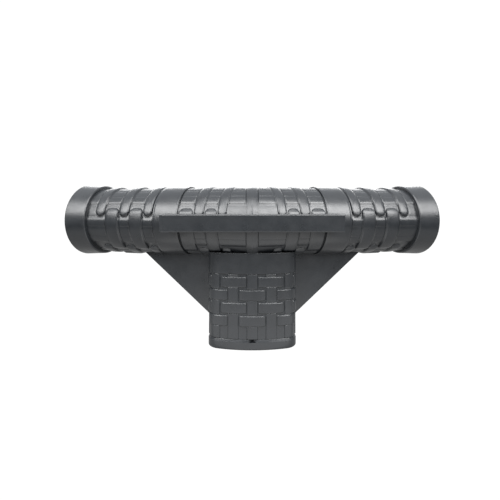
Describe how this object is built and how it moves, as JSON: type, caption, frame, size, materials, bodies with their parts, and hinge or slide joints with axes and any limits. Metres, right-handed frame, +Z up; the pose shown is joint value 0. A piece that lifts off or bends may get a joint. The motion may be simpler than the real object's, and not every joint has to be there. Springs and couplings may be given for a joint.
{
  "type": "bent tee fitting for tubular frame",
  "caption": "Dark plastic tee joint with a woven relief: round rail sockets bent back from the middle, a flat-oval leg socket below, side gussets and a straight front bar.",
  "frame": {"origin": "centre of the leg socket's mouth", "axes": "+X across the fitting from the left rail socket to the right one, -Y towards the outer side with the front bar, +Z up from the leg to the rails"},
  "size_m": [0.3314, 0.1105, 0.137],
  "materials": {
    "slate_plastic": "satin moulded dark slate-grey plastic with a fine grain",
    "pin_plastic": "satin moulded charcoal plastic",
    "seal_rubber": "soft matt black rubber",
    "screw_steel": "bright zinc-plated steel"
  },
  "bodies": {
    "fitting": {"front_shell": "slate_plastic", "rear_shell": "slate_plastic", "leg_socket": "slate_plastic", "socket_ring": "slate_plastic", "front_bar": "slate_plastic", "left_end_collar": "slate_plastic", "right_end_collar": "slate_plastic", "shell_screws": "screw_steel"},
    "right_pin": {"right_rail_pin": "pin_plastic", "right_pin_seal": "seal_rubber"},
    "left_pin": {"left_rail_pin": "pin_plastic", "left_pin_seal": "seal_rubber"}
  },
  "joints": [
    {"name": "right_pin_slide", "type": "slide", "parent": "fitting", "child": "right_pin", "axis": [-0.2588, 0.9659, 0], "range_m": [-0.008, 0.01]},
    {"name": "left_pin_slide", "type": "slide", "parent": "fitting", "child": "left_pin", "axis": [0.2588, 0.9659, 0], "range_m": [-0.008, 0.01]}
  ]
}
